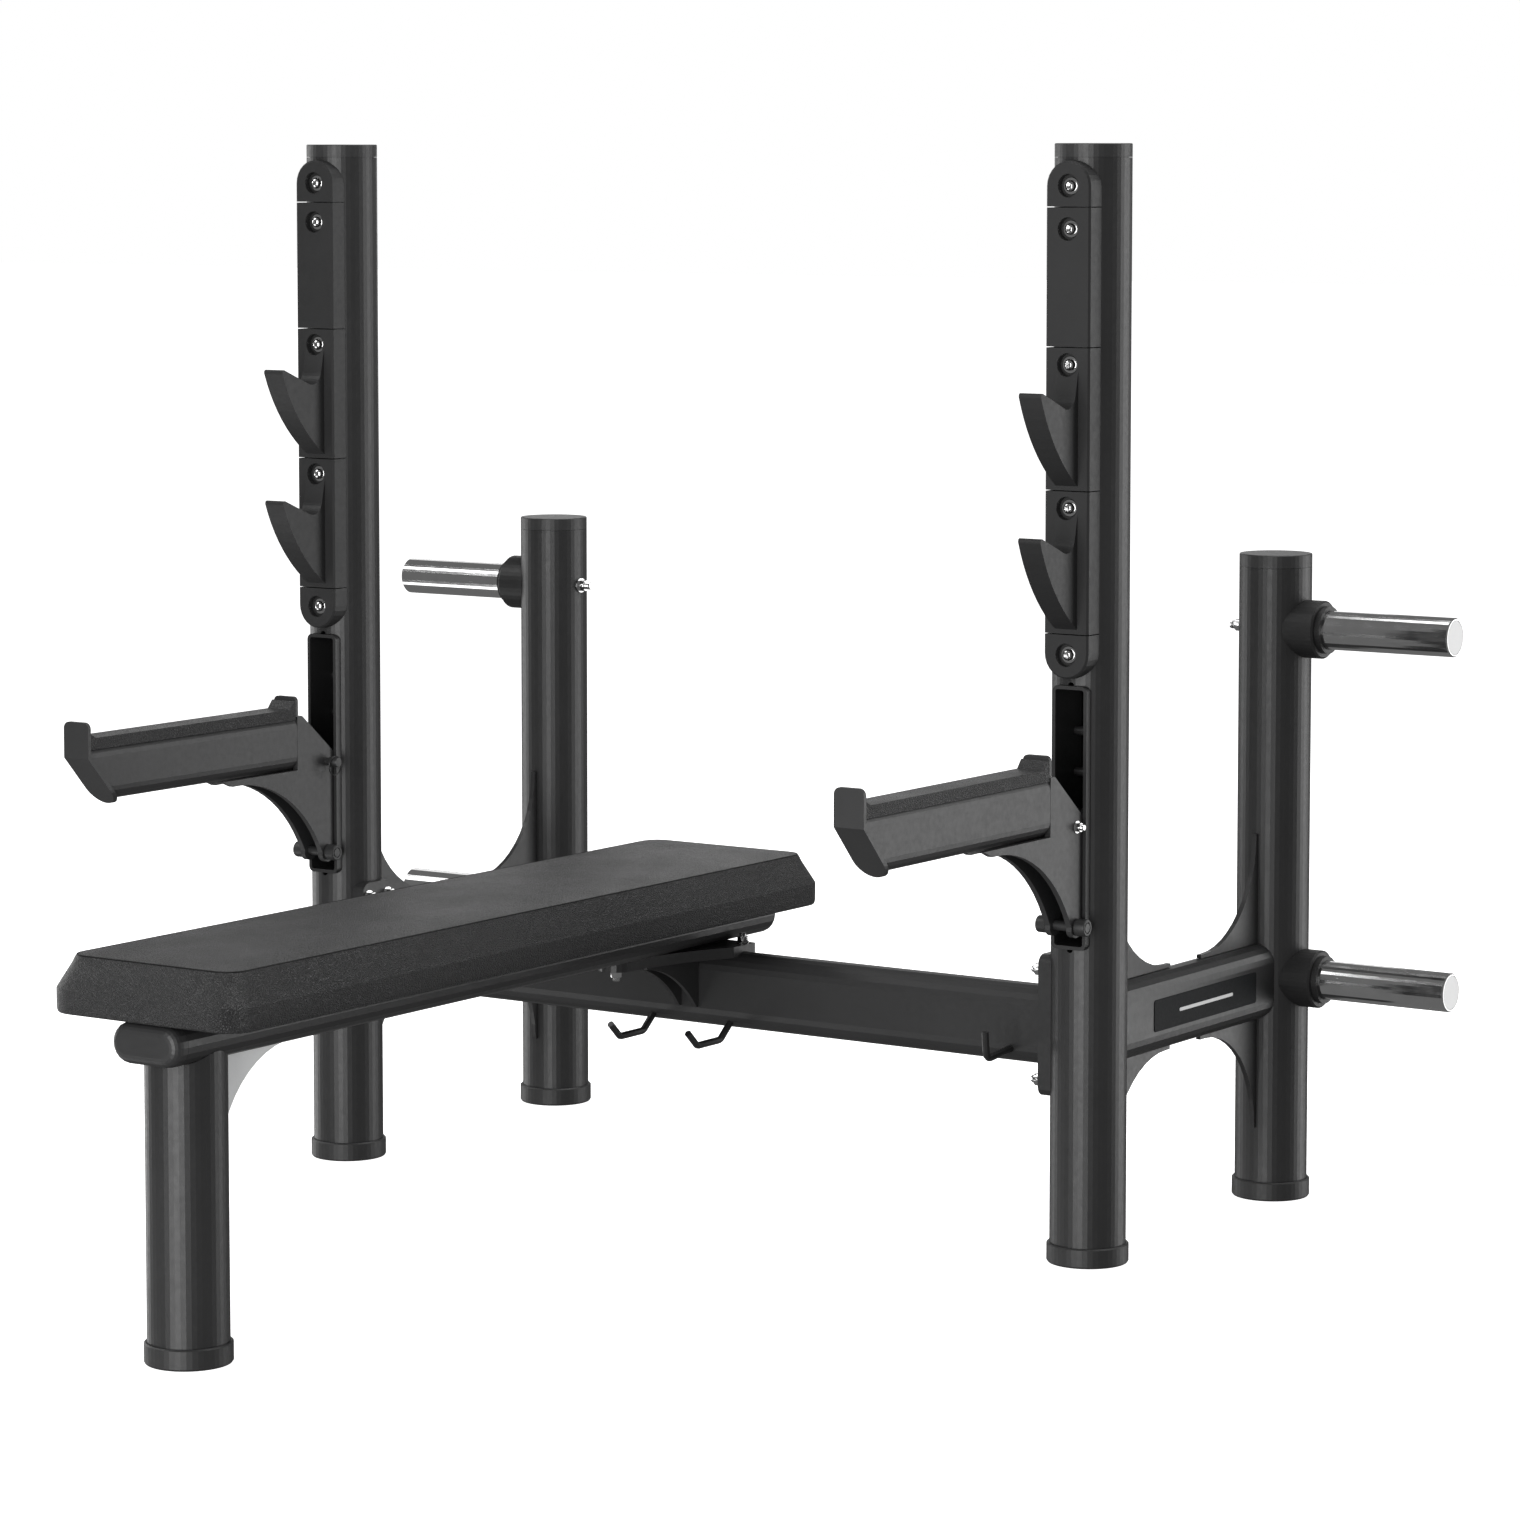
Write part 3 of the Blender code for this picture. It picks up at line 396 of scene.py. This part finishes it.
# ---------------------------------------------------------------- hardware
def strip_bolts(mats):
    """Washer and button-head bolt at the bottom of each recess in the upright strips."""
    below_top = {"strip_cap_top": 0.0292, "strip_spacer": 0.0242, "j_hook_upper": 0.0194,
                 "j_hook_lower": 0.0192, "strip_cap_bottom": 0.0233}
    recess_depth, washer_t = 0.0085, 0.0016
    for side, _ in SIDES:
        floor_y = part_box(f"strip_spacer_{side}")[0].y + recess_depth
        for segment, drop in below_top.items():
            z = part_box(f"{segment}_{side}")[1].z - drop
            place = placed((UPRIGHT[side].x, floor_y, z), (0, -1, 0))
            bm = bmesh.new()
            add_washer(bm, place, 0.0100, 0.0050, washer_t)
            add_socket_head(bm, place @ Matrix.Translation((0, 0, washer_t)), 0.0068, 0.0052, 0.0056)
            finish_piece(f"strip_bolt_{segment}_{side}", bm, mats["bolt_chrome"], "frame")


def flange_bolts(mats):
    """Hex heads on the inner face of each crossbar flange."""
    low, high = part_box("crossbar")
    inner_face, across_y, top_drop, bottom_rise = 0.4984, 0.019, 0.0185, 0.018
    for side, s in SIDES:
        for label, z in (("upper", high.z - top_drop), ("lower", low.z + bottom_rise)):
            for end, y in (("front", -across_y), ("rear", across_y)):
                place = placed((s * inner_face, UP_Y + y, z), (-s, 0, 0))
                hex_bolt(f"flange_bolt_{label}_{end}_{side}", place, (0.0095, 0.0050, 0.0014),
                         (0.0135, 0.0075), (0.0046, 0.0050), mats["bolt_chrome"])


def bracket_bolts(mats):
    """Nut under the bracket's front tab and the two bolts that stand beside the spine."""
    low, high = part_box("bench_bracket")
    tab_inset, plate_under, beside_spine, behind_beam = 0.021, 0.3140, 0.0560, 0.0120
    place = placed((0, low.y + tab_inset, plate_under), (0, 0, -1))
    hex_bolt("bracket_nut_front", place, (0.0092, 0.0050, 0.0014), (0.0136, 0.0070), (0.0050, 0.0046),
             mats["bolt_chrome"])
    for side, s in SIDES:
        place = placed((s * beside_spine, UP_Y + behind_beam, high.z), (0, 0, 1))
        hex_bolt(f"bracket_bolt_{side}", place, (0.0088, 0.0050, 0.0014), (0.0125, 0.0068),
                 (0.0045, 0.0044), mats["bolt_chrome"])


def horn_details(mats):
    """White end plug in each horn's recess, and the bolt on the inner side of the post."""
    recess, seat = 0.0020, 0.0012
    plug = [(0.0206, 0.0), (0.0208, 0.0012), (0.0203, 0.0019), (0.0150, 0.0019)]
    for side, s in SIDES:
        for level in ("upper", "lower"):
            centre = middle(f"weight_horn_{level}_{side}")
            low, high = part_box(f"weight_horn_{level}_{side}")
            tip = high.x if s > 0 else low.x
            bm = bmesh.new()
            turn_profile(bm, plug, placed((tip - s * recess, centre.y, centre.z), (s, 0, 0)), 64)
            finish_piece(f"horn_plug_{level}_{side}", bm, mats["plug_white"], "frame")
            inner = POST[side].x - s * TUBE_R
            place = placed((inner + s * seat, centre.y, centre.z), (-s, 0, 0))
            hex_bolt(f"horn_bolt_{level}_{side}", place, (0.0100, 0.0050, 0.0030), (0.0140, 0.0075),
                     (0.0050, 0.0080), mats["bolt_chrome"])


def arm_cross_bolts(mats):
    """Bolt across each arm's hook plates: nut outside, dark knob with a ring on the bench side."""
    before_upright, z, half_grip = 0.060, 0.516, 0.0177
    ring_out, ring_back, ring_drop, ring_r, wire_r = 0.0120, 0.0010, 0.0048, 0.0120, 0.0008
    y = UP_Y - before_upright
    knob = [(0.0050, 0.0), (0.0050, 0.0040), (0.0060, 0.0046), (0.0063, 0.0060), (0.0063, 0.0178),
            (0.0056, 0.0188), (0.0030, 0.0190)]
    for side, s in SIDES:
        x = UPRIGHT[side].x
        body = f"{side}_arm"
        hex_bolt(f"arm_nut_{side}", placed((x + s * half_grip, y, z), (s, 0, 0)),
                 (0.0075, 0.0040, 0.0012), (0.0100, 0.0048), (0.0038, 0.0042), mats["bolt_chrome"], body)
        bm = bmesh.new()
        turn_profile(bm, knob, placed((x - s * half_grip, y, z), (-s, 0, 0)), 40)
        finish_piece(f"arm_knob_{side}", bm, mats["roller_rubber"], body)
        bm = bmesh.new()
        hang = placed((x - s * (half_grip + ring_out), y + ring_back, z - ring_drop), (-s, 0, 0))
        add_ring(bm, hang, ring_r, wire_r)
        finish_piece(f"arm_pull_ring_{side}", bm, mats["rod_paint"], body)


def add_ring(bm, place, radius, wire, count=56, sides=8):
    """Round wire bent into a ring."""
    rings = []
    for i in range(count):
        a = 2 * math.pi * i / count
        ring = []
        for k in range(sides):
            b = 2 * math.pi * k / sides
            r = radius + wire * math.cos(b)
            ring.append(place @ Vector((r * math.cos(a), r * math.sin(a), wire * math.sin(b))))
        rings.append(ring)
    skin_loop(bm, rings)


def rollers(mats):
    """Finely turned rod and rollers, with a grooved ring round the rod's end on each face."""
    for side, _ in SIDES:
        name = f"arm_roller_{side}"
        low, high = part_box(name)
        centre = middle(name)
        half, big = (high.x - low.x) / 2, (high.z - low.z) / 2
        rod, inner = 0.0058, 0.0182
        face = [(0.0035, half - 0.0002), (0.0052, half - 0.0002), (0.0056, half - 0.0014),
                (0.0064, half - 0.0014), (0.0068, half - 0.0002), (big - 0.0014, half),
                (big - 0.0003, half - 0.0006), (big, half - 0.0018)]
        body = [(big, inner + 0.0012), (big - 0.0010, inner), (rod, inner)]
        one_end = face + body
        profile = [(r, -w) for r, w in one_end] + list(reversed(one_end))
        bm = bmesh.new()
        turn_profile(bm, profile, placed(centre, (1, 0, 0)), 64)
        finish_piece(f"roller_pair_{side}", bm, mats["roller_rubber"], f"{side}_roller",
                     smooth_angle=30.0, replaces=(name,))


# ---------------------------------------------------------------- badge
def rounded_rect(u0, u1, v0, v1, r, steps=6):
    """Rectangle outline with round corners, anticlockwise."""
    corners = ((u1 - r, v1 - r, 0), (u0 + r, v1 - r, 90), (u0 + r, v0 + r, 180), (u1 - r, v0 + r, 270))
    points = []
    for cu, cv, start in corners:
        for i in range(steps + 1):
            a = math.radians(start + 90 * i / steps)
            points.append((cu + r * math.cos(a), cv + r * math.sin(a)))
    return points


def badges(mats):
    """Black plate with one plain light line along it, on the outer face of each side beam."""
    plate_t, print_t, edge = 0.0008, 0.0003, 0.0004
    margin, half_line = 0.060, 0.0020
    y0, y1, z0, z1 = UP_Y + 0.1125, UP_Y + 0.3630, 0.2535, 0.2915
    mid_z = (z0 + z1) / 2
    for side, s in SIDES:
        low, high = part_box(f"side_beam_{side}")
        face = high.x if s > 0 else low.x
        bm = bmesh.new()
        plate = rounded_rect(y0, y1, z0, z1, 0.0035)
        inner = rounded_rect(y0 + edge, y1 - edge, z0 + edge, z1 - edge, 0.0031)
        levels = ((0.0001, plate), (plate_t - edge, plate), (plate_t, inner))
        rings = [[(face + s * h, u, v) for u, v in outline] for h, outline in levels]
        skin(bm, rings, Matrix.Identity(4))
        finish_piece(f"badge_plate_{side}", bm, mats["badge_black"], "frame")
        outline = rounded_rect(y0 + margin, y1 - margin, mid_z - half_line, mid_z + half_line, 0.0018)
        rings = [[(face + s * h, u, v) for u, v in outline] for h in (plate_t, plate_t + print_t)]
        bm = bmesh.new()
        skin(bm, rings, Matrix.Identity(4))
        finish_piece(f"badge_bar_{side}", bm, mats["badge_print"], "frame")


# ---------------------------------------------------------------- bench pad
PAD_LOW, PAD_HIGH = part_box("bench_pad")
CORNER_STEPS = 8
PAD_SPACING = 0.011
PAD_FOLD = 0.0275               # height of the fold between the upright band and the slope
PAD_SLOPE = 0.0180              # how far the slope leads inwards
PAD_CROWN = 0.0015              # how far the top stands above its seam
PAD_CORNER = 0.0300             # radius of the corners seen from above
SEAM_CORNER = 0.0222            # the same at the top seam
SHORT_STEPS = int((PAD_HIGH.x - PAD_LOW.x) / PAD_SPACING)
LONG_STEPS = int((PAD_HIGH.y - PAD_LOW.y) / PAD_SPACING)


def pad_outline(inset, corner, z):
    """Rounded rectangle round the pad, inset from its box, starting in the middle of a corner."""
    x0, x1 = PAD_LOW.x + inset, PAD_HIGH.x - inset
    y0, y1 = PAD_LOW.y + inset, PAD_HIGH.y - inset
    corners = (((x1 - corner, y1 - corner), 0), ((x0 + corner, y1 - corner), 90),
               ((x0 + corner, y0 + corner), 180), ((x1 - corner, y0 + corner), 270))
    points = []
    for k, ((cu, cv), start) in enumerate(corners):
        for i in range(CORNER_STEPS + 1):
            a = math.radians(start + 90 * i / CORNER_STEPS)
            points.append(Vector((cu + corner * math.cos(a), cv + corner * math.sin(a), z)))
        (nu, nv), nstart = corners[(k + 1) % 4]
        a = math.radians(nstart)
        target = Vector((nu + corner * math.cos(a), nv + corner * math.sin(a), z))
        steps = SHORT_STEPS if k % 2 == 0 else LONG_STEPS
        source = points[-1]
        points += [source.lerp(target, i / steps) for i in range(1, steps)]
    half = CORNER_STEPS // 2
    return points[half:] + points[:half]


def pad_rings():
    """Rings up the pad's side as (points, held): held rings are seams and creases that don't bulge."""
    z0, crease, top = PAD_LOW.z, PAD_LOW.z + PAD_FOLD, PAD_HIGH.z - PAD_CROWN
    levels = [(0.0060, 0.0240, z0, 1.0), (0.0020, 0.0280, z0 + 0.0006, 1.0),
              (0.0003, 0.0297, z0 + 0.0030, 0.8)]
    levels += [(0.0, PAD_CORNER, z0 + 0.0030 + (crease - z0 - 0.0050) * t, 0.0) for t in (0.35, 0.7)]
    levels += [(0.0, PAD_CORNER, crease - 0.0016, 0.9), (0.0, PAD_CORNER, crease - 0.0003, 1.0),
               (0.0004, 0.0298, crease + 0.0004, 1.0), (0.0011, 0.0295, crease + 0.0019, 0.9)]
    for t in (0.2, 0.4, 0.6, 0.8):
        levels.append((PAD_SLOPE * t, PAD_CORNER - 0.008 * t, crease + (top - 0.0012 - crease) * t, 0.0))
    seam = ((-0.0024, -0.0040, 0.7), (-0.0012, -0.0019, 0.9), (-0.0004, -0.0008, 1.0), (0.0000, -0.0021, 1.0),
            (0.0006, -0.0022, 1.0), (0.0008, -0.0006, 1.0), (0.0016, -0.0001, 1.0), (0.0034, 0.0002, 0.6))
    levels += [(PAD_SLOPE + step, SEAM_CORNER - step / 2, top + rise, held) for step, rise, held in seam]
    return [(pad_outline(inset, corner, z), held) for inset, corner, z, held in levels]


def quad_cap(bm, loop, crown, weight, held):
    """Closes a ring with an even grid of quads, raised by the crown in the middle."""
    across, along = SHORT_STEPS + CORNER_STEPS, LONG_STEPS + CORNER_STEPS
    rear, left = loop[:across + 1], loop[across:across + along + 1]
    front = list(reversed(loop[across + along:2 * across + along + 1]))
    right = list(reversed(loop[2 * across + along:] + loop[:1]))
    grid = []
    for i in range(across + 1):
        u, column = i / across, []
        for j in range(along + 1):
            v = j / along
            edge = {0: right[j], across: left[j]}.get(i) or {0: rear[i], along: front[i]}.get(j)
            if edge is None:
                co = rear[i].co * (1 - v) + front[i].co * v + right[j].co * (1 - u) + left[j].co * u
                co -= rear[0].co * (1 - u) * (1 - v) + rear[-1].co * u * (1 - v)
                co -= front[0].co * (1 - u) * v + front[-1].co * u * v
                rise = (1 - abs(2 * u - 1) ** 2.6) * (1 - abs(2 * v - 1) ** 9)
                edge = bm.verts.new((co.x, co.y, co.z + crown * rise))
                edge[weight] = held
            column.append(edge)
        grid.append(column)
    for i in range(across):
        for j in range(along):
            bm.faces.new((grid[i][j], grid[i + 1][j], grid[i + 1][j + 1], grid[i][j + 1]))


def pad_mesh():
    """Pad surface: side rings closed by a flat grid below and a slightly crowned one on top."""
    bm = bmesh.new()
    weight = bm.verts.layers.float.new("held")
    loops = []
    for ring, held in pad_rings():
        loop = [bm.verts.new(p) for p in ring]
        for v in loop:
            v[weight] = held
        loops.append(loop)
    for low, high in zip(loops, loops[1:]):
        band(bm, low, high)
    quad_cap(bm, loops[0], crown=0.0, weight=weight, held=1.0)
    quad_cap(bm, loops[-1], crown=0.0012, weight=weight, held=0.0)
    return bm


def swell(piece, held, cap):
    """Cloth under light pressure, with the seams held, so that each panel fills out a little."""
    group = piece.vertex_groups.new(name="held")
    for i, w in enumerate(held):
        if w > 0:
            group.add([i], w, "REPLACE")
    start = [v.co.copy() for v in piece.data.vertices]
    cloth = piece.modifiers.new("cloth", "CLOTH")
    settings = cloth.settings
    settings.quality = 4
    settings.mass = 0.4
    settings.tension_stiffness = settings.compression_stiffness = 25.0
    settings.bending_stiffness = 1.5
    settings.vertex_group_mass = "held"
    settings.use_pressure = True
    settings.uniform_pressure_force = 3.0
    settings.effector_weights.gravity = 0.0
    cloth.collision_settings.use_collision = False
    scene = bpy.context.scene
    frames = 14
    cloth.point_cache.frame_start, cloth.point_cache.frame_end = 1, frames
    for f in range(1, frames + 1):
        scene.frame_set(f)
    evaluated = piece.evaluated_get(bpy.context.evaluated_depsgraph_get())
    moved = [v.co.copy() for v in evaluated.data.vertices]
    piece.modifiers.remove(cloth)
    scene.frame_set(1)
    for v, a, b in zip(piece.data.vertices, start, moved):
        step = b - a
        if step.length > cap:
            step *= cap / step.length
        v.co = a + step


def bench_pad(mats):
    """The cushion: one soft piece whose panels swell a little between the held seams."""
    bm = pad_mesh()
    held = [v[bm.verts.layers.float["held"]] for v in bm.verts]
    pad = finish_piece("bench_cushion", bm, mats["pad_leather"], "frame",
                       smooth_angle=60.0, replaces=("bench_pad",))
    swell(pad, held, cap=0.0022)
    pad.data.shade_smooth()
    rounding = pad.modifiers.new("rounding", "SUBSURF")
    rounding.levels = rounding.render_levels = 1


def pad_seam(mats):
    """Dark corded seam laid in the groove round the top of the pad."""
    path = pad_outline(PAD_SLOPE + 0.0003, 0.0220, PAD_HIGH.z - PAD_CROWN - 0.0009)
    cord_r, sides = 0.0010, 8
    rings = []
    for i, p in enumerate(path):
        ahead = (path[(i + 1) % len(path)] - path[i - 1]).normalized()
        outward = ahead.cross(Vector((0, 0, 1)))
        ring = []
        for k in range(sides):
            a = 2 * math.pi * k / sides
            ring.append(p + outward * (cord_r * math.cos(a)) + Vector((0, 0, cord_r * math.sin(a))))
        rings.append(ring)
    bm = bmesh.new()
    skin_loop(bm, rings)
    finish_piece("cushion_seam", bm, mats["seam_cord"], "frame", smooth_angle=60.0)


# ---------------------------------------------------------------- floor, light and camera
def stage_plane(name, size, location, colour, roughness):
    """Faintly mottled plane that belongs to the stage and not to the object."""
    bm = bmesh.new()
    bmesh.ops.create_grid(bm, x_segments=2, y_segments=2, size=size)
    mesh = bpy.data.meshes.new(name)
    bm.to_mesh(mesh)
    bm.free()
    mat, nodes, links, shader = new_material(name)
    vector = object_coords(nodes, links)
    tone = shade_mix(nodes, links, noise(nodes, links, vector, 0.6, 2.0), [0.99 * c for c in colour], colour)
    links.new(tone, shader.inputs["Base Color"])
    shader.inputs["Roughness"].default_value = roughness
    shader.inputs["Specular IOR Level"].default_value = 0.2
    mesh.materials.append(mat)
    obj = bpy.data.objects.new(name, mesh)
    obj.location = location
    bpy.context.scene.collection.objects.link(obj)
    return obj


def around(azimuth, elevation, distance, aim):
    """Point seen from aim at an azimuth (0 is the foot end, 90 the +X side) and an elevation."""
    a, e = math.radians(azimuth), math.radians(elevation)
    return aim + distance * Vector((math.sin(a) * math.cos(e), -math.cos(a) * math.cos(e), math.sin(e)))


def softbox(name, azimuth, elevation, distance, width, height, radiance, aim):
    """Rectangular light that faces the aim and that the camera doesn't see."""
    light = bpy.data.lights.new(name, "AREA")
    light.shape = "RECTANGLE"
    light.size, light.size_y = width, height
    light.energy = radiance * math.pi * width * height
    obj = bpy.data.objects.new(name, light)
    obj.location = around(azimuth, elevation, distance, aim)
    obj.rotation_euler = (aim - obj.location).to_track_quat("-Z", "Y").to_euler()
    bpy.context.scene.collection.objects.link(obj)
    obj.visible_camera = False


def studio_world():
    """White surround for the eye, dim for the light it gives, so that the softboxes shape the tubes."""
    world = bpy.data.worlds.new("studio")
    world.use_nodes = True
    nodes, links = world.node_tree.nodes, world.node_tree.links
    background = nodes["Background"]
    path = nodes.new("ShaderNodeLightPath")
    matt_light, glossy_light = 0.42, 0.15
    given = remap(nodes, links, path.outputs["Is Glossy Ray"], (0.0, 1.0), (matt_light, glossy_light))
    brightest = nodes.new("ShaderNodeMath")
    brightest.operation = "MAXIMUM"
    links.new(path.outputs["Is Camera Ray"], brightest.inputs[0])
    links.new(given, brightest.inputs[1])
    background.inputs["Color"].default_value = (1.0, 1.0, 1.0, 1.0)
    links.new(brightest.outputs["Value"], background.inputs["Strength"])
    return world


def light_and_floor():
    """Seven softboxes, and a floor that shows white to the camera and lends the object no light."""
    scene = bpy.context.scene
    floor_size, below_feet, tone, glow = 40.0, 0.0005, 0.90, 0.90
    scene.view_settings.view_transform = "Standard"
    scene.world = studio_world()
    floor = stage_plane("floor", floor_size, (0, 0, -below_feet), (tone, tone, tone), 0.7)
    shader = floor.active_material.node_tree.nodes["Principled BSDF"]
    shader.inputs["Emission Color"].default_value = (1.0, 1.0, 1.0, 1.0)
    shader.inputs["Emission Strength"].default_value = glow
    floor.visible_diffuse = False
    floor.visible_glossy = False
    floor.visible_shadow = False
    aim = (cad_low + cad_high) / 2
    softbox("key", 10, 1, 4.6, 3.0, 4.4, 4.6, aim)
    softbox("rim_left", -96, 2, 4.6, 2.8, 4.0, 1.9, aim)
    softbox("rim_right", 138, 2, 4.6, 2.8, 4.0, 2.4, aim)
    softbox("top", 150, 66, 3.6, 3.4, 2.8, 2.6, aim)
    softbox("high_strip", -62, 42, 4.4, 2.4, 1.7, 2.6, aim)
    softbox("low_strip", -58, -34, 4.4, 2.4, 1.2, 2.0, aim)
    softbox("back", -146, 12, 4.8, 3.0, 1.8, 0.9, aim)


CAMERA_PLACE = (3.3989, -4.6278, 1.2774)
CAMERA_TILT_DOWN, CAMERA_AZIMUTH = 0.08485, 0.59454
CAMERA_LENS, CAMERA_SENSOR, CAMERA_SHIFT_Y = 116.9, 36.0, -0.12


def camera():
    """Camera set up to match the photograph's view."""
    data = bpy.data.cameras.new("camera")
    data.lens, data.sensor_width = CAMERA_LENS, CAMERA_SENSOR
    data.shift_y = CAMERA_SHIFT_Y
    obj = bpy.data.objects.new("camera", data)
    obj.location = CAMERA_PLACE
    obj.rotation_euler = (math.pi / 2 - CAMERA_TILT_DOWN, 0.0, CAMERA_AZIMUTH)
    bpy.context.scene.collection.objects.link(obj)
    bpy.context.scene.camera = obj


# ---------------------------------------------------------------- the scene
materials = make_materials()
dress_nodes(materials)
strip_bolts(materials)
flange_bolts(materials)
bracket_bolts(materials)
horn_details(materials)
arm_cross_bolts(materials)
rollers(materials)
badges(materials)
bench_pad(materials)
pad_seam(materials)
light_and_floor()
camera()
